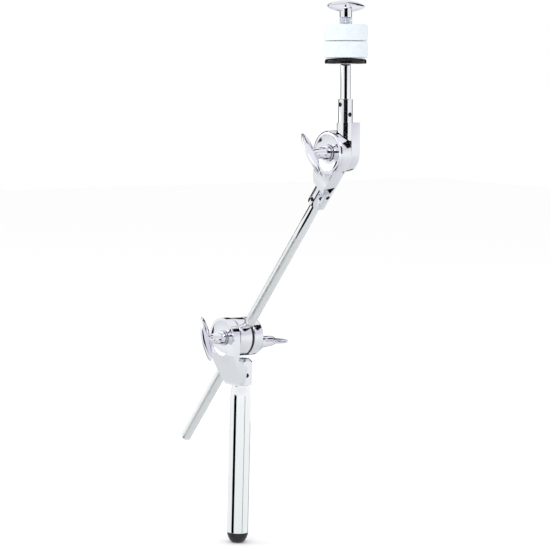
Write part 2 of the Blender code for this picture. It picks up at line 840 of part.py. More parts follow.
def make_holder():
    """Ear, column and neck in one casting; the rod's axis passes beside the tilt axis."""
    holder = plate("rod_holder", holder_outline(), -HOLDER_EAR_BACK, -EAR_FRONT, tilter)
    soften(holder, 0.6, 2)
    place = (ROD_OFFSET, 0, 0)
    column = cylinder("column", COLUMN_RADIUS - 0.08, 2.0, COLUMN_TOP - 0.1, FINE, tilter, place, home=cutters)
    swing = cylinder(
        "swing",
        UPPER_DISC_RADIUS + TILT_PLAY,
        -40,
        EAR_FRONT + 1.0,
        FINE,
        tilter,
        turn=TO_PLUS_Y,
        home=cutters,
    )
    cut(column, swing)
    neck = turned(
        "neck",
        [
            (0.0, NECK_TOP),
            (NECK_RADIUS - 0.4, NECK_TOP),
            (NECK_RADIUS, NECK_TOP - 0.4),
            (NECK_RADIUS, COLUMN_TOP - 2.0),
            (0.0, COLUMN_TOP - 2.0),
        ],
        MEDIUM,
        tilter,
        place,
        home=cutters,
    )
    join(holder, column, neck)
    rod_bore = cylinder(
        "bore",
        CYMBAL_ROD_RADIUS + BORE_PLAY,
        CYMBAL_ROD_BOTTOM - GAP,
        NECK_TOP + 5,
        MEDIUM,
        tilter,
        place,
        home=cutters,
    )
    stud_bore = cylinder(
        "bore",
        STUD_RADIUS + BORE_PLAY,
        -10,
        HOLDER_EAR_THICKNESS - 1.5,
        MEDIUM,
        tilter,
        turn=TO_PLUS_Y,
        home=cutters,
    )
    cut(holder, rod_bore, stud_bore)
    reach = NECK_RADIUS - 0.1
    spots = (
        ("rod_set_screw_front", (ROD_OFFSET, -reach, HOLDER_GRUB_HEIGHTS[0]), TO_MINUS_Y),
        ("rod_set_screw_side", (ROD_OFFSET + reach, 0, HOLDER_GRUB_HEIGHTS[1]), TO_PLUS_X),
    )
    thin = NECK_RADIUS - 0.1 - CYMBAL_ROD_RADIUS - GAP
    for name, where, turn in spots:
        cut(holder, grub_hole(tilter, where, turn, 3.0))
        grub_screw(name, tilter, where, turn).data.transform(shrink_to(thin))
    finish(holder, chrome_casting)


def make_upper_wing():
    """The tilt screw of the tilter: it goes through the upper yoke's disc and bites in the holder's ear."""
    seat = DISC_FRONT + DISH_DEPTH
    washer(
        "upper_tilt_washer",
        BOSS_WASHER_RADIUS,
        STUD_RADIUS + BORE_PLAY,
        seat - GAP - BOSS_WASHER_THICKNESS,
        seat - GAP,
        boom_head,
        (0, 0, 0),
        TO_PLUS_Y,
        zinc_steel,
    )
    boss_foot = seat - 2 * GAP - BOSS_WASHER_THICKNESS
    wing(
        "upper_tilt_wing",
        WING_BOSS_RADIUS,
        WING_BOSS_LENGTH,
        STUD_RADIUS + BORE_PLAY,
        WING_BORE_DEPTH,
        upper_pivot,
        (0, boss_foot, 0),
        TO_MINUS_Y,
        90.0 + UPPER_WING_TURN,
    )
    stud = cylinder(
        "upper_tilt_stud",
        STUD_RADIUS,
        boss_foot - WING_BORE_DEPTH + GAP,
        HOLDER_EAR_THICKNESS - 1.5 - GAP,
        MEDIUM,
        upper_pivot,
        turn=TO_PLUS_Y,
    )
    finish(stud, zinc_steel)


def make_cymbal_seat():
    place = (ROD_OFFSET, 0, 0)
    rod = turned(
        "cymbal_rod",
        [
            (0.0, ROD_TOP),
            (THREAD_RADIUS - ROD_CHAMFER, ROD_TOP),
            (THREAD_RADIUS, ROD_TOP - ROD_CHAMFER),
            (THREAD_RADIUS, SEAT_HEIGHT - COLLAR_THICKNESS / 2 - GAP),
            (CYMBAL_ROD_RADIUS, SEAT_HEIGHT - COLLAR_THICKNESS / 2 - GAP),
            (CYMBAL_ROD_RADIUS, CYMBAL_ROD_BOTTOM),
            (0.0, CYMBAL_ROD_BOTTOM),
        ],
        MEDIUM,
        tilter,
        place,
    )
    finish(rod, chrome)
    thread_bore = THREAD_RADIUS + BORE_PLAY
    washer(
        "seat_collar",
        COLLAR_RADIUS,
        thread_bore,
        SEAT_HEIGHT - COLLAR_THICKNESS / 2,
        SEAT_HEIGHT + COLLAR_THICKNESS / 2,
        tilter,
        place,
        UP,
        zinc_steel,
    )
    recess = COLLAR_RADIUS + GAP
    skirt = SEAT_HEIGHT - COLLAR_THICKNESS / 2
    cup = turned(
        "cup_washer",
        [
            (thread_bore, CUP_TOP),
            (CUP_RADIUS * 0.5, CUP_TOP),
            (CUP_RADIUS - 1.6, CUP_TOP - 0.5),
            (CUP_RADIUS, CUP_TOP - 1.6),
            (CUP_RADIUS, skirt),
            (recess, skirt),
            (recess, CUP_BOTTOM),
            (thread_bore, CUP_BOTTOM),
        ],
        FINE,
        tilter,
        place,
        ring=True,
    )
    finish(cup, black_plastic)
    washer(
        "cymbal_sleeve",
        SLEEVE_RADIUS,
        SLEEVE_RADIUS - SLEEVE_WALL,
        CUP_TOP + GAP,
        SLEEVE_TOP,
        tilter,
        place,
        UP,
        clear_nylon,
    )
    for name, low in (("lower_felt", LOWER_FELT_BOTTOM), ("upper_felt", UPPER_FELT_BOTTOM)):
        washer(
            name,
            FELT_RADIUS,
            SLEEVE_RADIUS + FELT_PLAY,
            low,
            low + FELT_THICKNESS,
            tilter,
            place,
            UP,
            wool_felt,
            FINE,
        )
    wing(
        "top_wing_nut",
        WING_HUB_RADIUS,
        WING_HUB_LENGTH,
        thread_bore,
        WING_BORE_DEPTH,
        tilter,
        (ROD_OFFSET, 0, TOP_NUT_BOTTOM),
        UP,
        TOP_NUT_TURN,
    )


clear_scene()
parts = new_collection("cymbal_boom_arm")
cutters = new_collection("cutters")
cutters.hide_render = True

chrome = new_material("chrome_plated_steel", (0.83, 0.84, 0.86), 0.06, 1.0)
chrome_casting = new_material("chrome_plated_zinc", (0.82, 0.83, 0.85), 0.09, 1.0)
zinc_steel = new_material("zinc_plated_steel", (0.66, 0.67, 0.68), 0.3, 1.0)
black_steel = new_material("black_oxide_steel", (0.02, 0.02, 0.022), 0.45, 0.6)
black_plastic = new_material("black_moulded_plastic", (0.014, 0.014, 0.015), 0.45, 0.0)
friction_fibre = new_material("black_friction_fibre", (0.012, 0.012, 0.012), 0.8, 0.0)
clear_nylon = new_material("clear_nylon", (0.82, 0.84, 0.86), 0.15, 0.0, 0.45)
wool_felt = new_material("white_wool_felt", (0.86, 0.89, 0.94), 0.95, 0.0)

lower_pivot = new_frame("lower_pivot", (0, 0, LOWER_PIVOT_HEIGHT))
boom_axis = new_frame("boom_axis", (0, 0, 0), BOOM_TURN, lower_pivot)
clamp_side = new_frame("clamp_side", (BOLT_OFFSET, 0, 0), UP, boom_axis)
clamp_axis = new_frame("clamp_axis", (0, 0, 0), (0, -BOOM_TURN[1], 0), clamp_side)
boom_head = new_frame("boom_head", (-BOOM_OFFSET, 0, BOOM_TO_TILTER), UP, boom_axis)
upper_pivot = new_frame("upper_pivot", (0, 0, 0), (0, -BOOM_TURN[1], 0), boom_head)
tilter = new_frame("tilter", (0, 0, 0), (0, math.radians(HOLDER_TILT), 0), upper_pivot)
bpy.context.view_layer.update()

make_post()
make_lower_yoke()
make_lower_brake()
make_hub()
make_pads()
make_clamp_bolt()
make_lower_wing()
make_clamp_wing()
make_boom()
make_upper_yoke()
make_holder()
make_upper_wing()
make_cymbal_seat()
bpy.context.view_layer.update()
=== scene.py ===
import json
import math

import bmesh
import bpy
import numpy as np
from mathutils import Matrix, Vector


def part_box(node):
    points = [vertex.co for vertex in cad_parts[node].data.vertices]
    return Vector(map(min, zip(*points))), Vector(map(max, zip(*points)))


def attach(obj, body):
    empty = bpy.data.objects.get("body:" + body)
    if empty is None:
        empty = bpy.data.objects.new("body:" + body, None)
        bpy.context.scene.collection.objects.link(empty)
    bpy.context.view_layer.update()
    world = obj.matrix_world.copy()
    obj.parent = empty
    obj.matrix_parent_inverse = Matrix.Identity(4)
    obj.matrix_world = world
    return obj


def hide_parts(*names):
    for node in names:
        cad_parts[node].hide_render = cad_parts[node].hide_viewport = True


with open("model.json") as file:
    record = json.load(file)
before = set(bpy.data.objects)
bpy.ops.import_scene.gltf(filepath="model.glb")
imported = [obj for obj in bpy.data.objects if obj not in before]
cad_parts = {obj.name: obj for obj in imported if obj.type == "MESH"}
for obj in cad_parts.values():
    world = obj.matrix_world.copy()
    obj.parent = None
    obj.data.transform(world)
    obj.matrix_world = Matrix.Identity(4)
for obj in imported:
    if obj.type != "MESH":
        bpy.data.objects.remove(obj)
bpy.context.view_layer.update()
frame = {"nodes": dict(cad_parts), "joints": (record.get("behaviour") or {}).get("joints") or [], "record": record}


# ---- Studio -------------------------------------------------------------------------------------
# A plain white room with a pale floor and two soft lights. Black flags stand round the stand where
# only its polished metal sees them, because bright plate shows its form by what it mirrors.

def linear(colour):
    """sRGB hex text turned to the linear values that shaders take, with alpha 1."""
    values = [int(colour[i:i + 2], 16) / 255 for i in (0, 2, 4)]
    return (*[v / 12.92 if v <= 0.04045 else ((v + 0.055) / 1.055) ** 2.4 for v in values], 1.0)


def add(tree, kind, settings, **links):
    """Adds a node; settings name its properties or sockets, and links join sockets to outputs."""
    made = tree.nodes.new(kind)
    for name, value in settings.items():
        if isinstance(name, str) and hasattr(made, name):
            setattr(made, name, value)
        else:
            made.inputs[name].default_value = value
    for name, source in links.items():
        socket = made.inputs[int(name[1:])] if name[0] == "_" else made.inputs[name.replace("_", " ")]
        tree.links.new(source, socket)
    return made


def place_in_scene(name, mesh):
    made = bpy.data.objects.new(name, mesh)
    bpy.context.scene.collection.objects.link(made)
    return made


camera_back = Vector((0.7692, -0.6306, 0.1032)).normalized()
camera_right = Vector((0.6319, 0.7747, 0.0239))
camera_right = (camera_right - camera_back * camera_right.dot(camera_back)).normalized()
camera = place_in_scene("camera", bpy.data.cameras.new("camera"))
turn = Matrix((camera_right, camera_back.cross(camera_right), camera_back)).transposed().to_4x4()
turn.translation = Vector((1.6716, -1.3331, 0.4698))
camera.matrix_world = turn
camera.data.sensor_width = 36.0
camera.data.lens = 154.2
camera.data.clip_start = 0.05
camera.data.clip_end = 50
bpy.context.scene.camera = camera
bpy.context.scene.view_settings.view_transform = "Standard"

world = bpy.data.worlds.new("white room")
bpy.context.scene.world = world
world.use_nodes = True
tree = world.node_tree
room = tree.nodes["Background"]
direction = add(tree, "ShaderNodeTexCoord", {})
height = add(tree, "ShaderNodeSeparateXYZ", {}, Vector=direction.outputs["Generated"])
walls = add(tree, "ShaderNodeValToRGB", {}, Fac=add(
    tree, "ShaderNodeMapRange", {"From Min": -1.0, "From Max": 1.0}, Value=height.outputs["Z"]
).outputs["Result"])
stops = (
    (0.0, "DCDEE0"), (0.30, "ECF0EE"), (0.44, "FCFFFD"),
    (0.52, "FFFFFF"), (0.66, "DEDEE6"), (0.85, "FAFAFE"),
)
for position, colour in stops:
    stop = walls.color_ramp.elements.new(position)
    stop.color = linear(colour)
seen = add(tree, "ShaderNodeLightPath", {})
white = add(
    tree, "ShaderNodeMix", {"data_type": "RGBA"},
    _0=seen.outputs["Is Glossy Ray"], _7=walls.outputs["Color"],
)
white.inputs[6].default_value = (1.0, 1.0, 1.0, 1.0)
tree.links.new(white.outputs[2], room.inputs["Color"])
room.inputs["Strength"].default_value = 1.0


def flat_card(name, centre, facing, width, height):
    """A rectangle about centre whose face looks along facing, with its height as upright as it can be."""
    normal = Vector(facing).normalized()
    across = Vector((1, 0, 0)) if abs(normal.z) > 0.99 else Vector((0, 0, 1)).cross(normal).normalized()
    upright = normal.cross(across) * (height / 2)
    across = across * (width / 2)
    middle = Vector(centre)
    corners = [
        middle - across - upright, middle + across - upright,
        middle + across + upright, middle - across + upright,
    ]
    mesh = bpy.data.meshes.new(name)
    mesh.from_pydata([tuple(corner) for corner in corners], [], [(0, 1, 2, 3)])
    return place_in_scene(name, mesh)


def plain_material(name, colour, roughness):
    made = bpy.data.materials.new(name)
    made.use_nodes = True
    shader = made.node_tree.nodes["Principled BSDF"]
    shader.inputs["Base Color"].default_value = linear(colour)
    shader.inputs["Roughness"].default_value = roughness
    shader.inputs["Specular IOR Level"].default_value = 0.0
    return made


floor = flat_card("floor", (0, 0, -0.0005), (0, 0, 1), 8.0, 8.0)
floor_paper = plain_material("floor_paper", "FCFCFC", 1.0)
floor.data.materials.append(floor_paper)
floor.visible_glossy = False

flag_cloth = plain_material("black_flag_cloth", "050505", 1.0)


def flag(name, bearing, elevation, distance, middle, width, height):
    """A black flag that faces the point at height middle on the post's line, from a bearing in degrees to
    the camera's right and an elevation above level. Only mirrored light sees it."""
    ahead = Vector((camera_back.x, camera_back.y, 0)).normalized()
    side = Vector((-ahead.y, ahead.x, 0))
    level = ahead * math.cos(math.radians(bearing)) + side * math.sin(math.radians(bearing))
    rise = math.radians(elevation)
    way = level * math.cos(rise) + Vector((0, 0, math.sin(rise)))
    made = flat_card(name, way * distance + Vector((0, 0, middle)), -way, width, height)
    made.data.materials.append(flag_cloth)
    for setting in ("visible_camera", "visible_shadow", "visible_diffuse", "visible_transmission"):
        setattr(made, setting, False)


flag("flag_left", -59, 0, 0.60, -0.14, 0.34, 0.60)
flag("flag_right", 52, 0, 0.60, -0.14, 0.05, 0.60)
flag("flag_front", 8, 0, 0.60, 0.51, 0.62, 0.30)
flag("flag_back", 180, 0, 0.70, 0.48, 1.10, 0.36)
flag("flag_back_left", -136, 22, 0.80, 0.37, 0.55, 0.70)
flag("flag_back_right", 136, 0, 0.75, 0.46, 0.55, 0.32)
flag("flag_side", 97, 39, 0.75, 0.19, 0.50, 0.24)
flag("flag_low", 172, -24, 0.75, 0.19, 0.60, 0.22)
flag("flag_over", -86, 56, 0.75, 0.30, 0.62, 0.30)
flag("flag_top", 20, 88, 0.85, 0.30, 0.50, 0.40)

for name, place, power, size in (
    ("key", (1.4, -1.7, 1.6), 9.0, 1.2),
    ("fill", (-1.2, -1.2, 1.2), 6.0, 1.5),
):
    lamp = place_in_scene(name, bpy.data.lights.new(name, "AREA"))
    lamp.data.energy = power
    lamp.data.size = size
    lamp.location = place
    lamp.rotation_euler = (Vector((0.05, 0, 0.25)) - Vector(place)).to_track_quat("-Z", "Y").to_euler()


# ---- Post tube ----------------------------------------------------------------------------------
# A drawn steel tube, drawn in at its top to the spigot that the yoke stands on. It is polished and
# bright chrome plated; a clamp grips it, so it is plain from end to end.

MM = 0.001
joints = {joint["name"]: joint for joint in frame["joints"]}
NODE_BODY = {node: body for body, nodes in frame["record"]["behaviour"]["bodies"].items() for node in nodes}


def placing(origin, z_axis, x_axis):
    """Matrix whose columns are x, y = z cross x, z and the origin, in metres."""
    z = Vector(z_axis).normalized()
    x = Vector(x_axis)
    x = (x - z * x.dot(z)).normalized()
    made = Matrix((x, z.cross(x), z)).transposed().to_4x4()
    made.translation = Vector(origin)
    return made


def corner_round(points, radii, steps=6):
    """Each corner of the open line gives way to a quadratic arc that starts its radius before it."""
    line = []
    for i, (corner, radius) in enumerate(zip(points, radii)):
        corner = np.array(corner, float)
        if radius == 0 or i in (0, len(points) - 1):
            line.append(corner)
            continue
        before = np.array(points[i - 1], float) - corner
        after = np.array(points[i + 1], float) - corner
        start = corner + before * min(radius / np.linalg.norm(before), 0.49)
        end = corner + after * min(radius / np.linalg.norm(after), 0.49)
        t = np.linspace(0, 1, steps + 1)[:, None]
        line.extend((1 - t) ** 2 * start + 2 * t * (1 - t) * corner + t ** 2 * end)
    return np.array(line)


def turned_grid(profile, sides=144):
    """Rows of points (r cos a, r sin a, h) for each (r, h) of the profile, with a from 0 to 2 pi."""
    angle = np.arange(sides) / sides * 2 * np.pi
    radius, height = np.array(profile, float).T
    x = radius[:, None] * np.cos(angle)
    y = radius[:, None] * np.sin(angle)
    z = np.broadcast_to(height[:, None], x.shape)
    return np.stack([x, y, z], axis=-1)


def skin(name, grid, at, ring=False):
    """Quads between neighbouring points of the grid, whose columns run round; a ring joins its last row
    to its first. Points are millimetres in the frame `at`, and poles are merged to one point."""
    rows, columns = grid.shape[:2]
    index = np.arange(rows * columns).reshape(rows, columns)
    following = np.roll(index, -1, axis=1)
    last = rows if ring else rows - 1
    below = np.roll(index, -1, axis=0)
    below_following = np.roll(following, -1, axis=0)
    faces = np.stack([index, below, below_following, following], axis=-1)[:last].reshape(-1, 4)
    points = np.c_[grid.reshape(-1, 3) * MM, np.ones(rows * columns)] @ np.array(at).T
    mesh = bpy.data.meshes.new(name)
    mesh.from_pydata(points[:, :3].tolist(), [], faces.tolist())
    shape = bmesh.new()
    shape.from_mesh(mesh)
    bmesh.ops.remove_doubles(shape, verts=shape.verts, dist=1e-7)
    bmesh.ops.recalc_face_normals(shape, faces=shape.faces)
    shape.to_mesh(mesh)
    shape.free()
    return smooth(place_in_scene(name, mesh))


def smooth(made, angle=32.0):
    made.data.polygons.foreach_set("use_smooth", np.ones(len(made.data.polygons), bool))
    made.data.set_sharp_from_angle(angle=math.radians(angle))
    return made


def settle(made, material, slot, body, *nodes):
    """Gives a piece its material, the body that it rides on and the nodes it stands for; slot is not used."""
    made.data.materials.clear()
    made.data.materials.append(material)
    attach(made, body)
    if nodes:
        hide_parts(*nodes)
    return made


def chrome_on_tube():
    """Bright chrome on polished steel: a mirror with faint polishing lines."""
    made = bpy.data.materials.new("chrome_on_polished_tube")
    made.use_nodes = True
    tree = made.node_tree
    shader = tree.nodes["Principled BSDF"]
    shader.inputs["Metallic"].default_value = 1.0
    place = add(tree, "ShaderNodeTexCoord", {}).outputs["Object"]
    tint = add(tree, "ShaderNodeTexNoise", {"Scale": 40.0, "Detail": 3.0}, Vector=place)
    colour = add(tree, "ShaderNodeMix", {"data_type": "RGBA"}, _0=tint.outputs["Fac"])
    colour.inputs[6].default_value = linear("F9FAFC")
    colour.inputs[7].default_value = linear("F0F2F6")
    tree.links.new(colour.outputs[2], shader.inputs["Base Color"])
    stretched = add(tree, "ShaderNodeMapping", {"Scale": (1.0, 1.0, 14.0)}, Vector=place)
    lines = add(
        tree, "ShaderNodeTexNoise", {"Scale": 260.0, "Detail": 4.0}, Vector=stretched.outputs["Vector"],
    )
    gloss = add(
        tree, "ShaderNodeMapRange", {"From Min": 0.35, "From Max": 0.75, "To Min": 0.035, "To Max": 0.11},
        Value=lines.outputs["Fac"],
    )
    tree.links.new(gloss.outputs["Result"], shader.inputs["Roughness"])
    ripple = add(tree, "ShaderNodeBump", {"Strength": 0.12, "Distance": 0.00004}, Height=lines.outputs["Fac"])
    tree.links.new(ripple.outputs["Normal"], shader.inputs["Normal"])
    return made


tube_chrome = chrome_on_tube()
POST_RADIUS = 9.525
POST_BORE = 8.025
SPIGOT_RADIUS = 6.9
SPIGOT_BORE = 5.4
TAPER_START, TAPER_END = 135.5, 145.5
tube_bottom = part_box("post_tube")[0].z / MM
tube_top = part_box("post_tube")[1].z / MM
tube_profile = corner_round(
    [
        (POST_BORE, 60.0), (POST_BORE, tube_bottom), (POST_RADIUS, tube_bottom),
        (POST_RADIUS, TAPER_START), (8.0, TAPER_END), (8.0, 146.3), (SPIGOT_RADIUS, 146.3),
        (SPIGOT_RADIUS, tube_top), (SPIGOT_BORE, tube_top), (SPIGOT_BORE, TAPER_END),
        (POST_BORE, TAPER_START), (POST_BORE, 61.0),
    ],
    [0, 0.4, 0.6, 5.0, 1.2, 0.3, 0.1, 0.5, 0.4, 4.0, 4.0, 0],
)
upright = placing((0, 0, 0), (0, 0, 1), (1, 0, 0))
post = skin("post_tube_fine", turned_grid(tube_profile, 192), upright, ring=True)
settle(post, tube_chrome, "chrome_steel", "post", "post_tube")


# ---- Foot cap -----------------------------------------------------------------------------------
# A tapered bung of black moulded plastic pressed in the tube's lower end, with a small parting ring
# under its flange. It keeps the tube from scoring the clamp when it is pushed in.

def moulded_black():
    """Black PVC from a spark-eroded mould: dark, with a fine grain that breaks up its sheen."""
    made = bpy.data.materials.new("black_moulded_plastic")
    made.use_nodes = True
    tree = made.node_tree
    shader = tree.nodes["Principled BSDF"]
    shader.inputs["IOR"].default_value = 1.53
    shader.inputs["Specular IOR Level"].default_value = 0.35
    place = add(tree, "ShaderNodeTexCoord", {}).outputs["Object"]
    cloud = add(tree, "ShaderNodeTexNoise", {"Scale": 120.0, "Detail": 4.0}, Vector=place)
    colour = add(tree, "ShaderNodeMix", {"data_type": "RGBA"}, _0=cloud.outputs["Fac"])
    colour.inputs[6].default_value = linear("17171A")
    colour.inputs[7].default_value = linear("26262A")
    tree.links.new(colour.outputs[2], shader.inputs["Base Color"])
    # mould grain is about 0.15 mm; it is drawn at 0.35 mm so that it shows
    grain = add(tree, "ShaderNodeTexNoise", {"Scale": 2800.0, "Detail": 2.0}, Vector=place)
    gloss = add(tree, "ShaderNodeMapRange", {"To Min": 0.30, "To Max": 0.52}, Value=grain.outputs["Fac"])
    tree.links.new(gloss.outputs["Result"], shader.inputs["Roughness"])
    bump = add(tree, "ShaderNodeBump", {"Strength": 0.35, "Distance": 0.00006}, Height=grain.outputs["Fac"])
    tree.links.new(bump.outputs["Normal"], shader.inputs["Normal"])
    return made


black_plastic = moulded_black()
cap_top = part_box("foot_cap")[1].z / MM
cap_flange = tube_bottom - 0.3
cap_profile = corner_round(
    [
        (0.0, cap_top), (6.4, cap_top), (7.775, cap_top - 2.0), (7.775, cap_flange), (9.5, cap_flange),
        (9.5, cap_flange - 1.5), (9.2, cap_flange - 1.8), (9.2, cap_flange - 2.6), (8.2, 3.4), (6.6, 0.9),
        (5.4, 0.0), (0.0, 0.0),
    ],
    [0, 0.6, 0.6, 0.2, 0.5, 0.15, 0.15, 0.8, 1.6, 0.8, 0.4, 0],
)
foot = skin("foot_cap_fine", turned_grid(cap_profile, 128), upright)
settle(foot, black_plastic, "black_plastic", "post", "foot_cap")


# ---- Lower yoke ---------------------------------------------------------------------------------
# A die-cast zinc arm on the tube's spigot: a block below, a dished round ear above. It is tumbled,
# polished and chrome plated, so every edge is a little round and its flats are never quite flat.

def chrome_on_casting():
    """Chrome on polished die-cast zinc: a mirror with the soft waves that polishing leaves."""
    made = bpy.data.materials.new("chrome_on_die_cast_zinc")
    made.use_nodes = True
    tree = made.node_tree
    shader = tree.nodes["Principled BSDF"]
    shader.inputs["Metallic"].default_value = 1.0
    place = add(tree, "ShaderNodeTexCoord", {}).outputs["Object"]
    tint = add(tree, "ShaderNodeTexNoise", {"Scale": 60.0, "Detail": 3.0}, Vector=place)
    colour = add(tree, "ShaderNodeMix", {"data_type": "RGBA"}, _0=tint.outputs["Fac"])
    colour.inputs[6].default_value = linear("F2F2F7")
    colour.inputs[7].default_value = linear("E4E5EE")
    tree.links.new(colour.outputs[2], shader.inputs["Base Color"])
    wear = add(tree, "ShaderNodeTexNoise", {"Scale": 700.0, "Detail": 5.0}, Vector=place)
    gloss = add(
        tree, "ShaderNodeMapRange", {"From Min": 0.3, "From Max": 0.8, "To Min": 0.04, "To Max": 0.14},
        Value=wear.outputs["Fac"],
    )
    tree.links.new(gloss.outputs["Result"], shader.inputs["Roughness"])
    # polishing waves lie about 5 mm apart and are a few hundredths of a millimetre deep
    waves = add(tree, "ShaderNodeTexNoise", {"Scale": 190.0, "Detail": 1.0}, Vector=place)
    bump = add(tree, "ShaderNodeBump", {"Strength": 0.5, "Distance": 0.00012}, Height=waves.outputs["Fac"])
    tree.links.new(bump.outputs["Normal"], shader.inputs["Normal"])
    return made


cast_chrome = chrome_on_casting()


def bake(made, other, operation):
    """Joins or cuts one closed piece with another, exactly, and drops the second."""
    step = made.modifiers.new(operation, "BOOLEAN")
    step.operation = operation
    step.solver = "EXACT"
    step.object = other
    bpy.context.view_layer.update()
    mesh = bpy.data.meshes.new_from_object(made.evaluated_get(bpy.context.evaluated_depsgraph_get()))
    made.modifiers.clear()
    made.data = mesh
    bpy.data.objects.remove(other, do_unlink=True)
    return made


def bowl(at, rim, seat, face, depth):
    """Hollow ring that rounds a dish out: its depth below the face falls from `depth` at the seat to nearly
    nothing at the rim as 1 - 0.85 s^2, with s from 0 at the seat to 1 at the rim."""
    s = np.linspace(0, 1, 17)
    hollow = np.stack([seat + s * (rim + 0.1 - seat), face - depth * (1 - 0.85 * s ** 2)], axis=-1)
    back = [(rim + 0.6, face - depth * 0.15), (rim + 0.6, face - depth - 0.6), (seat, face - depth - 0.6)]
    return skin("bowl", turned_grid(np.concatenate([hollow, back]), 168), at, ring=True)


def casting(name, node, rounding, extra=None):
    """The casting's own solid with its flats made whole and each edge given a small round."""
    mesh = frame["nodes"][node].data.copy()
    shape = bmesh.new()
    shape.from_mesh(mesh)
    bmesh.ops.remove_doubles(shape, verts=shape.verts, dist=2e-6)
    bmesh.ops.dissolve_limit(
        shape, angle_limit=math.radians(0.4), use_dissolve_boundaries=False,
        verts=shape.verts, edges=shape.edges,
    )
    shape.to_mesh(mesh)
    shape.free()
    mesh.name = name
    made = place_in_scene(name, mesh)
    if extra:
        bake(made, extra, "UNION")
    smooth(made, 30.0)
    bevel = made.modifiers.new("round", "BEVEL")
    bevel.width = rounding * MM
    bevel.segments = 3
    bevel.limit_method = "ANGLE"
    bevel.angle_limit = math.radians(30.0)
    bevel.harden_normals = False
    return made


lower_pivot = Vector(joints["lower_tilt"]["pos_m"])
lower_front = -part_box("lower_yoke")[0].y / MM
lower_bowl = bowl(placing(lower_pivot, (0, -1, 0), (1, 0, 0)), 15.9, 7.3, lower_front, 1.8)
lower_yoke = casting("lower_yoke_fine", "lower_yoke", 0.4, lower_bowl)
settle(lower_yoke, cast_chrome, "chrome_zinc", "post", "lower_yoke")


# ---- Set screws ---------------------------------------------------------------------------------
# Black oxide socket set screws: one locks the yoke on its spigot, two the boom rod in its socket and
# two the cymbal rod in the holder's neck. Each is turned steel with a hexagon socket.

def black_oxide():
    """Black oxide on steel: a thin dark film, oily and a little uneven."""
    made = bpy.data.materials.new("black_oxide_on_steel")
    made.use_nodes = True
    tree = made.node_tree
    shader = tree.nodes["Principled BSDF"]
    shader.inputs["Metallic"].default_value = 0.6
    place = add(tree, "ShaderNodeTexCoord", {}).outputs["Object"]
    film = add(tree, "ShaderNodeTexNoise", {"Scale": 900.0, "Detail": 3.0}, Vector=place)
    colour = add(tree, "ShaderNodeMix", {"data_type": "RGBA"}, _0=film.outputs["Fac"])
    colour.inputs[6].default_value = linear("141416")
    colour.inputs[7].default_value = linear("303034")
    tree.links.new(colour.outputs[2], shader.inputs["Base Color"])
    gloss = add(tree, "ShaderNodeMapRange", {"To Min": 0.28, "To Max": 0.55}, Value=film.outputs["Fac"])
    tree.links.new(gloss.outputs["Result"], shader.inputs["Roughness"])
    return made


oxide = black_oxide()
for node in (
    "yoke_set_screw", "socket_set_screw_front", "socket_set_screw_side",
    "rod_set_screw_front", "rod_set_screw_side",
):
    settle(casting(node + "_fine", node, 0.12), oxide, "black_steel", NODE_BODY[node], node)


# ---- Brake discs and clamp pads -----------------------------------------------------------------
# Pressed black friction fibre: a thin disc between each pair of faces that tilt on each other, and
# two half-moon pads that fill the clamp's slit above and below the rod. They are held by the screws.

def pressed_fibre():
    """Black friction fibre: dull, with short fibres lying every way in the resin."""
    made = bpy.data.materials.new("pressed_friction_fibre")
    made.use_nodes = True
    tree = made.node_tree
    shader = tree.nodes["Principled BSDF"]
    place = add(tree, "ShaderNodeTexCoord", {}).outputs["Object"]
    fibres = add(
        tree, "ShaderNodeTexNoise", {"Scale": 1600.0, "Detail": 6.0, "Distortion": 1.5}, Vector=place,
    )
    colour = add(tree, "ShaderNodeMix", {"data_type": "RGBA"}, _0=fibres.outputs["Fac"])
    colour.inputs[6].default_value = linear("0E0E0F")
    colour.inputs[7].default_value = linear("2A2928")
    tree.links.new(colour.outputs[2], shader.inputs["Base Color"])
    gloss = add(tree, "ShaderNodeMapRange", {"To Min": 0.65, "To Max": 0.9}, Value=fibres.outputs["Fac"])
    tree.links.new(gloss.outputs["Result"], shader.inputs["Roughness"])
    bump = add(tree, "ShaderNodeBump", {"Strength": 0.4, "Distance": 0.0001}, Height=fibres.outputs["Fac"])
    tree.links.new(bump.outputs["Normal"], shader.inputs["Normal"])
    return made


def flat_ring(outer, inner, low, high, rounding):
    """Closed profile of a washer: four corners, each rounded by the given radius."""
    corners = [(inner, (low + high) / 2), (inner, low), (outer, low), (outer, high), (inner, high)]
    return corner_round([*corners, (inner, (low + high) / 2 + 0.01)], [0, *[rounding] * 4, 0], 4)


fibre = pressed_fibre()
upper_pivot = Vector(joints["upper_tilt"]["pos_m"])
lower_across = placing(lower_pivot, (0, 1, 0), (1, 0, 0))
upper_across = placing(upper_pivot, (0, 1, 0), (1, 0, 0))
STUD_HOLE = 4.25
for node, at, outer in (("lower_brake_disc", lower_across, 16.8), ("upper_brake_disc", upper_across, 15.9)):
    low, high = (corner.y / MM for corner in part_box(node))
    profile = flat_ring(outer, STUD_HOLE, low, high, 0.12)
    disc = skin(node + "_fine", turned_grid(profile, 128), at, ring=True)
    settle(disc, fibre, "friction_fibre", NODE_BODY[node], node)
for node in ("clamp_pad_upper", "clamp_pad_lower"):
    settle(casting(node + "_fine", node, 0.15), fibre, "friction_fibre", "hub", node)


# ---- Hub ----------------------------------------------------------------------------------------
# Two die-cast shells that close on the boom rod: the drum, which bears on the yoke's ear, and the
# cap. Each is turned on its faces, with half of the rod's channel cut across its flat side.

for node in ("hub_drum", "clamp_cap"):
    settle(casting(node + "_fine", node, 0.3), cast_chrome, "chrome_zinc", NODE_BODY[node], node)


# ---- Studs, bolt and washers --------------------------------------------------------------------
# Bright zinc plated steel. The studs and the clamp bolt are rolled M8 and M7 threads; the washers
# are stamped flat rings with their rims a little rounded.

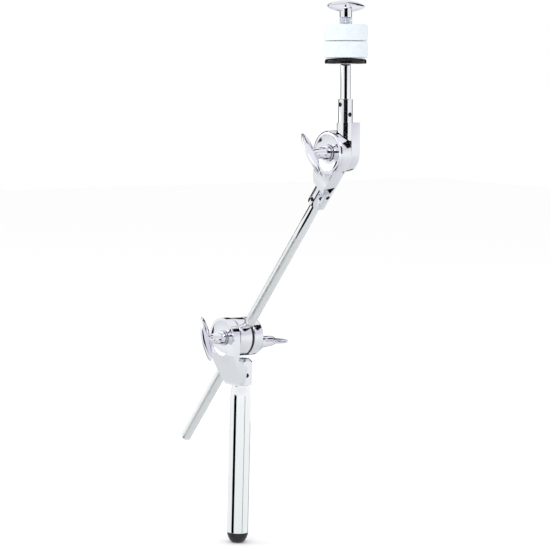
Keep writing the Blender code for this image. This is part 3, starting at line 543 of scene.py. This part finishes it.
def zinc_on_steel():
    """Blue-white zinc plate on turned steel: a soft and slightly mottled shine."""
    made = bpy.data.materials.new("zinc_plated_steel")
    made.use_nodes = True
    tree = made.node_tree
    shader = tree.nodes["Principled BSDF"]
    shader.inputs["Metallic"].default_value = 1.0
    place = add(tree, "ShaderNodeTexCoord", {}).outputs["Object"]
    spangle = add(tree, "ShaderNodeTexNoise", {"Scale": 500.0, "Detail": 4.0}, Vector=place)
    colour = add(tree, "ShaderNodeMix", {"data_type": "RGBA"}, _0=spangle.outputs["Fac"])
    colour.inputs[6].default_value = linear("C4C8CE")
    colour.inputs[7].default_value = linear("DADCDC")
    tree.links.new(colour.outputs[2], shader.inputs["Base Color"])
    gloss = add(tree, "ShaderNodeMapRange", {"To Min": 0.18, "To Max": 0.38}, Value=spangle.outputs["Fac"])
    tree.links.new(gloss.outputs["Result"], shader.inputs["Roughness"])
    bump = add(tree, "ShaderNodeBump", {"Strength": 0.3, "Distance": 0.00004}, Height=spangle.outputs["Fac"])
    tree.links.new(bump.outputs["Normal"], shader.inputs["Normal"])
    return made


def thread_rows(radius, pitch, depth, low, high, sides, rows_per_turn=10):
    """Rows of a right-hand thread: r = radius - depth * (1 + cos 2 pi (h / pitch - a / 2 pi)) / 2, with
    the groove running out to the root over half a turn at both ends."""
    count = int(round((high - low) / pitch * rows_per_turn))
    height = np.linspace(low, high, count + 1)[:, None]
    angle = (np.arange(sides) / sides * 2 * np.pi)[None, :]
    phase = height / pitch - angle / (2 * np.pi)
    runout = np.clip(np.minimum(height - low, high - height) / (pitch / 2), 0, 1)
    r = radius - depth + depth * runout * (0.5 - 0.5 * np.cos(2 * np.pi * phase))
    z = np.broadcast_to(height, r.shape)
    return np.stack([r * np.cos(angle), r * np.sin(angle), z], axis=-1)


def stud(name, radius, pitch, low, high, at):
    """A rolled thread between two chamfered ends, closed on the axis at both."""
    depth = pitch * 0.55
    sides = 48
    foot = turned_grid([(0.0, low), (radius - depth - 0.3, low), (radius - depth, low + 0.3)], sides)
    head = turned_grid([(radius - depth, high - 0.3), (radius - depth - 0.3, high), (0.0, high)], sides)
    thread = thread_rows(radius, pitch, depth, low + 0.35, high - 0.35, sides)
    return skin(name, np.concatenate([foot, thread, head]), at)


zinc = zinc_on_steel()
clamp_across = placing(joints["clamp_nut_turn"]["pos_m"], (0, 1, 0), (1, 0, 0))
for node, at, radius, pitch in (
    ("lower_tilt_stud", lower_across, 4.0, 1.25),
    ("upper_tilt_stud", upper_across, 4.0, 1.25),
    ("clamp_bolt", clamp_across, 3.5, 1.0),
):
    low, high = (corner.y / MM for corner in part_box(node))
    settle(stud(node + "_fine", radius, pitch, low, high, at), zinc, "zinc_steel", NODE_BODY[node], node)

BOLT_HOLE = 3.75
for node, at, outer, inner in (
    ("lower_tilt_washer", lower_across, 7.0, STUD_HOLE),
    ("upper_tilt_washer", upper_across, 7.0, STUD_HOLE),
    ("clamp_washer", clamp_across, 8.0, BOLT_HOLE),
):
    low, high = (corner.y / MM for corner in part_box(node))
    disc = skin(node + "_fine", turned_grid(flat_ring(outer, inner, low, high, 0.25), 96), at, ring=True)
    settle(disc, zinc, "zinc_steel", NODE_BODY[node], node)


# ---- Wings --------------------------------------------------------------------------------------
# Die-cast zinc, polished and chrome plated: a bowed, pillow-faced bar on a waisted boss. Two carry a
# stud, one runs on the clamp bolt and the last, on a short hub, screws down on the felts.

def wing_bar(length, middle, tip, width, centre):
    """Sections across the bar: at x the outline is |y / w|^2.4 + |z / h|^2.4 = 1 about height centre, where
    h falls from middle to tip as a cosine and w likewise, and both close as (1 - |x / half|^10)^(1/2)."""
    half = length / 2
    x = half * np.sin(np.linspace(-np.pi / 2, np.pi / 2, 97))[:, None]
    angle = (np.arange(72) / 72 * 2 * np.pi)[None, :]
    close = np.sqrt(np.clip(1 - np.abs(x / half) ** 10, 0, 1))
    bow = np.cos(x / half * np.pi / 2)
    h = (tip + (middle - tip) * bow) * close
    w = width * (0.62 + 0.38 * bow) * close
    power = 2 / 2.4
    y = w * np.sign(np.cos(angle)) * np.abs(np.cos(angle)) ** power
    z = centre + h * np.sign(np.sin(angle)) * np.abs(np.sin(angle)) ** power
    return np.stack([np.broadcast_to(x, y.shape), y, z], axis=-1)


WING_LENGTH, WING_HEIGHT, WING_TIP, WING_HALF_WIDTH = 41.0, 10.2, 1.5, 2.5
DRILL_POINT = 1.2


def wing(node, at, boss, boss_length, bore_radius, bore_depth):
    """The bar and its boss as one casting, with a blind bore from the foot that ends in a drill's point."""
    centre = boss_length + WING_HEIGHT / 2
    grid = wing_bar(WING_LENGTH, WING_HEIGHT / 2, WING_TIP, WING_HALF_WIDTH, centre)
    bar = skin(node + "_fine", grid, at)
    bake(bar, skin("boss", turned_grid(boss, 96), at), "UNION")
    drill = [(0.0, -1.0), (bore_radius, -1.0), (bore_radius, bore_depth - DRILL_POINT), (0.0, bore_depth)]
    bake(bar, skin("drill", turned_grid(drill, 64), at), "DIFFERENCE")
    smooth(bar, 38.0)
    return settle(bar, cast_chrome, "chrome_zinc", NODE_BODY[node], node)


def boss_profile(foot_radius, waist_radius, length, shoulder, top):
    """A rounded foot flange, a waist that curves in under it, and above the bore's end, at the shoulder's
    height, a cone that runs up in the bar."""
    line = [(0.0, 0.0), (foot_radius, 0.0), (foot_radius, length * 0.32), (waist_radius, length * 0.62),
            (waist_radius - 0.3, shoulder), (2.1, top), (0.0, top)]
    return corner_round(line, [0, 0.5, 1.2, 2.4, 2.4, 0.5, 0], 8)


BOSS_LENGTH, BOSS_FOOT, BOSS_WAIST = 13.2, 5.8, 4.9
STUD_BORE, CLAMP_BORE = 9.0, 16.6
long_boss = boss_profile(BOSS_FOOT, BOSS_WAIST, BOSS_LENGTH, 12.2, 18.3)
deep_boss = boss_profile(BOSS_FOOT, BOSS_WAIST, BOSS_LENGTH, 16.1, 20.6)


def across_from(pivot, node, outward, lean):
    """Frame on a pivot's line: its origin is the boss's foot, z points outward and x lies along the bar."""
    low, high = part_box(node)
    foot = high.y if outward < 0 else low.y
    bar = (math.cos(math.radians(lean)), 0, math.sin(math.radians(lean)))
    return placing((pivot[0], foot, pivot[2]), (0, outward, 0), bar)


lower_wing_at = across_from(lower_pivot, "lower_tilt_wing", -1, 110.0)
upper_wing_at = across_from(upper_pivot, "upper_tilt_wing", -1, 126.0)
clamp_nut_at = across_from(joints["clamp_nut_turn"]["pos_m"], "clamp_wing_nut", 1, 5.0)
wing("lower_tilt_wing", lower_wing_at, long_boss, BOSS_LENGTH, STUD_HOLE, STUD_BORE)
wing("upper_tilt_wing", upper_wing_at, long_boss, BOSS_LENGTH, STUD_HOLE, STUD_BORE)
wing("clamp_wing_nut", clamp_nut_at, deep_boss, BOSS_LENGTH, BOLT_HOLE, CLAMP_BORE)


# ---- Boom rod -----------------------------------------------------------------------------------
# A chromed 9.5 mm steel rod, finely knurled where the clamp can grip it and left smooth for the last
# stretch below its socket. Both ends are chamfered.

boom_at = placing(lower_pivot, joints["boom_slide"]["axis"], (0, -1, 0))
BOOM_RADIUS = 4.75
BOOM_LOW, BOOM_HIGH = -134.0, 192.2
KNURL_LOW, KNURL_HIGH = -131.0, 124.0
# the real knurl is about 0.6 mm apart; 1.25 mm keeps the mesh light and still reads as satin
KNURL_PITCH, KNURL_DEPTH, KNURL_TEETH, POINTS_PER_TOOTH = 1.25, 0.14, 24, 4


def knurl_rows(radius, depth, teeth, pitch, low, high, per_tooth):
    """Diamond knurl: r = radius - depth * (1 - cos(k a + q h) cos(k a - q h)) / 2, where k is teeth / 2
    and q is pi / pitch."""
    sides = teeth * per_tooth
    count = int((high - low) / pitch * per_tooth)
    height = np.linspace(low, high, count + 1)[:, None]
    angle = (np.arange(sides) / sides * 2 * np.pi)[None, :]
    first = np.cos(teeth / 2 * angle + np.pi * height / pitch)
    second = np.cos(teeth / 2 * angle - np.pi * height / pitch)
    r = radius - depth * (1 - first * second) / 2
    return np.stack([r * np.cos(angle), r * np.sin(angle), np.broadcast_to(height, r.shape)], axis=-1)


def satin_knurl():
    """Chrome over a rolled knurl: its thousands of small faces turn the mirror to a pale satin."""
    made = bpy.data.materials.new("chrome_on_knurl")
    made.use_nodes = True
    tree = made.node_tree
    shader = tree.nodes["Principled BSDF"]
    shader.inputs["Metallic"].default_value = 1.0
    place = add(tree, "ShaderNodeTexCoord", {}).outputs["Object"]
    worn = add(tree, "ShaderNodeTexNoise", {"Scale": 130.0, "Detail": 4.0}, Vector=place)
    colour = add(tree, "ShaderNodeMix", {"data_type": "RGBA"}, _0=worn.outputs["Fac"])
    colour.inputs[6].default_value = linear("FAFBFC")
    colour.inputs[7].default_value = linear("EEF1F2")
    tree.links.new(colour.outputs[2], shader.inputs["Base Color"])
    gloss = add(
        tree, "ShaderNodeMapRange", {"From Min": 0.3, "From Max": 0.7, "To Min": 0.30, "To Max": 0.46},
        Value=worn.outputs["Fac"],
    )
    tree.links.new(gloss.outputs["Result"], shader.inputs["Roughness"])
    return made


boom_sides = KNURL_TEETH * POINTS_PER_TOOTH
rod_foot = corner_round(
    [(0.0, BOOM_LOW), (4.15, BOOM_LOW), (BOOM_RADIUS, BOOM_LOW + 0.6), (BOOM_RADIUS, KNURL_LOW - 0.2)],
    [0, 0.2, 0.2, 0], 4,
)
rod_head = corner_round(
    [(BOOM_RADIUS, KNURL_HIGH + 0.3), (BOOM_RADIUS, BOOM_HIGH - 0.6), (4.15, BOOM_HIGH), (0.0, BOOM_HIGH)],
    [0, 0.2, 0.2, 0], 4,
)
boom_grid = np.concatenate([
    turned_grid(rod_foot, boom_sides),
    knurl_rows(BOOM_RADIUS, KNURL_DEPTH, KNURL_TEETH, KNURL_PITCH, KNURL_LOW, KNURL_HIGH, POINTS_PER_TOOTH),
    turned_grid(rod_head, boom_sides),
])
boom_rod = skin("boom_rod_fine", boom_grid, boom_at)
settle(boom_rod, tube_chrome, "chrome_steel", "boom", "boom_rod")
boom_rod.data.materials.append(satin_knurl())
middles = np.zeros(len(boom_rod.data.polygons) * 3)
boom_rod.data.polygons.foreach_get("center", middles)
along = (middles.reshape(-1, 3) - np.array(lower_pivot)) @ np.array(boom_at.col[2][:3]) / MM
knurled = (along > KNURL_LOW) & (along < KNURL_HIGH)
boom_rod.data.polygons.foreach_set("material_index", knurled.astype(np.int32))


# ---- Upper yoke and rod holder ------------------------------------------------------------------
# Two more chromed castings. The yoke is a dished disc with a tongue that leads to the boom's socket;
# the holder is an ear with a block, a column and a neck bored for the cymbal rod.

upper_front = -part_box("upper_yoke")[0].y / MM
upper_bowl = bowl(placing(upper_pivot, (0, -1, 0), (1, 0, 0)), 15.7, 7.3, upper_front, 1.8)
upper_yoke = casting("upper_yoke_fine", "upper_yoke", 0.4, upper_bowl)
settle(upper_yoke, cast_chrome, "chrome_zinc", "head", "upper_yoke")
settle(casting("rod_holder_fine", "rod_holder", 0.4), cast_chrome, "chrome_zinc", "tilter", "rod_holder")


# ---- Cymbal rod ---------------------------------------------------------------------------------
# Chromed steel, ground smooth up to the collar and then rolled with an M8 thread to its top.

rod_line = joints["top_nut_turn"]
rod_at = placing(rod_line["pos_m"], rod_line["axis"], (1, 0, 0))
ROD_LOW, ROD_SHOULDER, ROD_TOP = 21.0, 76.4, 124.2
ROD_RADIUS, THREAD_RADIUS, THREAD_PITCH, THREAD_DEPTH = 4.3, 3.9, 1.25, 0.7
ROD_SIDES = 64
lower_part = corner_round(
    [
        (0.0, ROD_LOW), (3.7, ROD_LOW), (ROD_RADIUS, ROD_LOW + 0.6), (ROD_RADIUS, ROD_SHOULDER),
        (3.2, ROD_SHOULDER),
    ],
    [0, 0.2, 0.2, 0.3, 0], 4,
)
upper_part = [(THREAD_RADIUS - THREAD_DEPTH, ROD_TOP - 0.3), (2.7, ROD_TOP), (0.0, ROD_TOP)]
rod_grid = np.concatenate([
    turned_grid(lower_part, ROD_SIDES),
    thread_rows(THREAD_RADIUS, THREAD_PITCH, THREAD_DEPTH, ROD_SHOULDER + 0.1, ROD_TOP - 0.4, ROD_SIDES),
    turned_grid(upper_part, ROD_SIDES),
])
settle(skin("cymbal_rod_fine", rod_grid, rod_at), tube_chrome, "chrome_steel", "tilter", "cymbal_rod")


# ---- Seat collar and cup washer -----------------------------------------------------------------
# A turned steel collar stops on the rod's shoulder and carries a glossy black moulded cup, whose
# raised rim keeps the lower felt centred.

THREAD_HOLE = 4.15
COLLAR_RADIUS, COLLAR_LOW, COLLAR_HIGH = 8.6, 76.7, 78.7
collar_profile = flat_ring(COLLAR_RADIUS, THREAD_HOLE, COLLAR_LOW, COLLAR_HIGH, 0.35)
collar = skin("seat_collar_fine", turned_grid(collar_profile, 96), rod_at, ring=True)
settle(collar, zinc, "zinc_steel", "tilter", "seat_collar")
CUP_RADIUS, CUP_SKIRT, CUP_FLOOR, CUP_TOP = 17.9, 76.7, 79.0, 81.3
cup_profile = corner_round(
    [
        (THREAD_HOLE, 80.0), (THREAD_HOLE, CUP_TOP), (9.0, CUP_TOP), (16.3, CUP_TOP - 0.4),
        (CUP_RADIUS, CUP_TOP - 1.4), (CUP_RADIUS, CUP_SKIRT),
        (16.5, CUP_SKIRT), (16.0, CUP_SKIRT + 0.9), (9.9, CUP_SKIRT + 0.9),
        (8.9, CUP_SKIRT), (8.9, CUP_FLOOR), (THREAD_HOLE, CUP_FLOOR), (THREAD_HOLE, 79.9),
    ],
    [0, 0.2, 1.0, 1.0, 1.0, 0.4, 0.3, 0.3, 0.3, 0.3, 0.2, 0.2, 0],
)


def glossy_black():
    """Black ABS from a polished mould: a deep, wet shine with faint swirls from handling."""
    made = bpy.data.materials.new("glossy_black_abs")
    made.use_nodes = True
    tree = made.node_tree
    shader = tree.nodes["Principled BSDF"]
    shader.inputs["IOR"].default_value = 1.54
    shader.inputs["Specular IOR Level"].default_value = 0.3
    place = add(tree, "ShaderNodeTexCoord", {}).outputs["Object"]
    swirl = add(tree, "ShaderNodeTexNoise", {"Scale": 350.0, "Detail": 6.0, "Distortion": 2.0}, Vector=place)
    colour = add(tree, "ShaderNodeMix", {"data_type": "RGBA"}, _0=swirl.outputs["Fac"])
    colour.inputs[6].default_value = linear("0A0A0C")
    colour.inputs[7].default_value = linear("16161A")
    tree.links.new(colour.outputs[2], shader.inputs["Base Color"])
    gloss = add(tree, "ShaderNodeMapRange", {"To Min": 0.08, "To Max": 0.24}, Value=swirl.outputs["Fac"])
    tree.links.new(gloss.outputs["Result"], shader.inputs["Roughness"])
    return made


cup = skin("cup_washer_fine", turned_grid(cup_profile, 144), rod_at, ring=True)
settle(cup, glossy_black(), "black_plastic", "tilter", "cup_washer")


# ---- Clear sleeve -------------------------------------------------------------------------------
# An extruded clear nylon tube over the thread, cut square, so that the cymbal never rubs on steel.

def clear_nylon():
    """Clear nylon: almost clear, with a slightly cloudy tint and an uneven shine."""
    made = bpy.data.materials.new("clear_extruded_nylon")
    made.use_nodes = True
    tree = made.node_tree
    shader = tree.nodes["Principled BSDF"]
    shader.inputs["Transmission Weight"].default_value = 0.9
    shader.inputs["IOR"].default_value = 1.25
    place = add(tree, "ShaderNodeTexCoord", {}).outputs["Object"]
    cloud = add(tree, "ShaderNodeTexNoise", {"Scale": 300.0, "Detail": 2.0}, Vector=place)
    colour = add(tree, "ShaderNodeMix", {"data_type": "RGBA"}, _0=cloud.outputs["Fac"])
    colour.inputs[6].default_value = linear("F4F6FA")
    colour.inputs[7].default_value = linear("E6EAF0")
    tree.links.new(colour.outputs[2], shader.inputs["Base Color"])
    gloss = add(tree, "ShaderNodeMapRange", {"To Min": 0.04, "To Max": 0.16}, Value=cloud.outputs["Fac"])
    tree.links.new(gloss.outputs["Result"], shader.inputs["Roughness"])
    return made


SLEEVE_RADIUS, SLEEVE_BORE, SLEEVE_LOW, SLEEVE_HIGH = 5.3, 4.2, 81.6, 115.9
sleeve_profile = flat_ring(SLEEVE_RADIUS, SLEEVE_BORE, SLEEVE_LOW, SLEEVE_HIGH, 0.2)
sleeve = skin("cymbal_sleeve_fine", turned_grid(sleeve_profile, 96), rod_at, ring=True)
settle(sleeve, clear_nylon(), "clear_nylon", "tilter", "cymbal_sleeve")


# ---- Felts --------------------------------------------------------------------------------------
# Two thick white pads punched from pressed wool felt. The punch rounds the rims a little, and short
# fibres stand off the cut sides.

def pressed_wool():
    """Pressed white wool: soft bluish white, matt, with matted fibres and a faint fuzz at its edge."""
    made = bpy.data.materials.new("pressed_white_wool_felt")
    made.use_nodes = True
    tree = made.node_tree
    shader = tree.nodes["Principled BSDF"]
    shader.inputs["Roughness"].default_value = 0.95
    shader.inputs["Sheen Weight"].default_value = 0.35
    shader.inputs["Sheen Roughness"].default_value = 0.6
    place = add(tree, "ShaderNodeTexCoord", {}).outputs["Object"]
    # wool fibres are 0.03 mm thick and lie in tufts of about 0.6 mm, which is what the eye sees
    tufts = add(
        tree, "ShaderNodeTexNoise", {"Scale": 1500.0, "Detail": 6.0, "Distortion": 2.5}, Vector=place,
    )
    patches = add(tree, "ShaderNodeTexNoise", {"Scale": 160.0, "Detail": 3.0}, Vector=place)
    shade = add(
        tree, "ShaderNodeMath", {"operation": "MULTIPLY"},
        _0=tufts.outputs["Fac"], _1=patches.outputs["Fac"],
    )
    ramp = add(
        tree, "ShaderNodeMapRange", {"From Min": 0.1, "From Max": 0.42}, Value=shade.outputs["Value"],
    )
    colour = add(tree, "ShaderNodeMix", {"data_type": "RGBA"}, _0=ramp.outputs["Result"])
    colour.inputs[6].default_value = linear("DFE8EF")
    colour.inputs[7].default_value = linear("ECF4FA")
    tree.links.new(colour.outputs[2], shader.inputs["Base Color"])
    bump = add(tree, "ShaderNodeBump", {"Strength": 0.7, "Distance": 0.0003}, Height=tufts.outputs["Fac"])
    tree.links.new(bump.outputs["Normal"], shader.inputs["Normal"])
    return made


def felt_grid(outer, inner, low, high, seed):
    """The punched pad's turned surface, pushed in and out along the radius and the axis by the sum of
    forty random waves round and along it, each a few hundredths of a millimetre high."""
    crowned = corner_round(
        [(inner, (low + high) / 2), (inner, low + 0.1), (outer - 0.25, low + 0.1), (outer, low + 3.0),
         (outer, high - 3.0), (outer - 0.25, high - 0.1), (inner, high - 0.1), (inner, (low + high) / 2 + 0.1)],
        [0, 0.6, 1.3, 3.0, 3.0, 1.3, 0.6, 0], 7,
    )
    lengths = np.r_[0, np.cumsum(np.hypot(*np.diff(crowned, axis=0).T))]
    even = np.linspace(0, lengths[-1], 150)
    profile = np.stack([np.interp(even, lengths, column) for column in crowned.T], axis=-1)
    sides = 300
    grid = turned_grid(profile, sides)
    chance = np.random.default_rng(seed)
    angle = (np.arange(sides) / sides * 2 * np.pi)[None, :]
    rough = np.zeros(grid.shape[:2])
    for _ in range(40):
        round_count = chance.integers(3, 60)
        along = chance.uniform(0.2, 3.0)
        start = chance.uniform(0, 6.28)
        rough += np.sin(round_count * angle + along * even[:, None] + start)
    rough *= 0.012
    middle = np.array([(outer + inner) / 2, (low + high) / 2])
    outward = np.sign(profile[:, 0] - middle[0])[:, None]
    radius = np.hypot(grid[..., 0], grid[..., 1])
    grown = (radius + rough * outward) / radius
    grid[..., 0] *= grown
    grid[..., 1] *= grown
    grid[..., 2] += rough * 0.6 * np.sign(profile[:, 1] - middle[1])[:, None]
    return grid


wool = pressed_wool()
FELT_RADIUS, FELT_HOLE = 19.0, 5.8
for node, low, high, seed in (("lower_felt", 81.6, 95.8, 3), ("upper_felt", 96.1, 110.3, 8)):
    pad = skin(node + "_pad", felt_grid(FELT_RADIUS, FELT_HOLE, low, high, seed), rod_at, ring=True)
    smooth(pad, 60.0)
    settle(pad, wool, "wool_felt", NODE_BODY[node], node)


# ---- Top wing nut -------------------------------------------------------------------------------
# The nut that holds the cymbal down: the same bar as the other wings on a short round hub.

NUT_SEAT, NUT_TURN = 116.2, 87.0
NUT_HUB_LENGTH, NUT_BORE = 4.6, 9.0
nut_at = rod_at.copy()
nut_at.translation = rod_at @ Vector((0, 0, NUT_SEAT * MM))
nut_at = nut_at @ Matrix.Rotation(math.radians(NUT_TURN), 4, "Z")
short_hub = corner_round(
    [(0.0, 0.0), (5.25, 0.0), (5.25, 8.4), (2.1, 12.4), (0.0, 12.4)], [0, 0.5, 0.8, 0.5, 0], 8
)
wing("top_wing_nut", nut_at, short_hub, NUT_HUB_LENGTH, THREAD_HOLE, NUT_BORE)
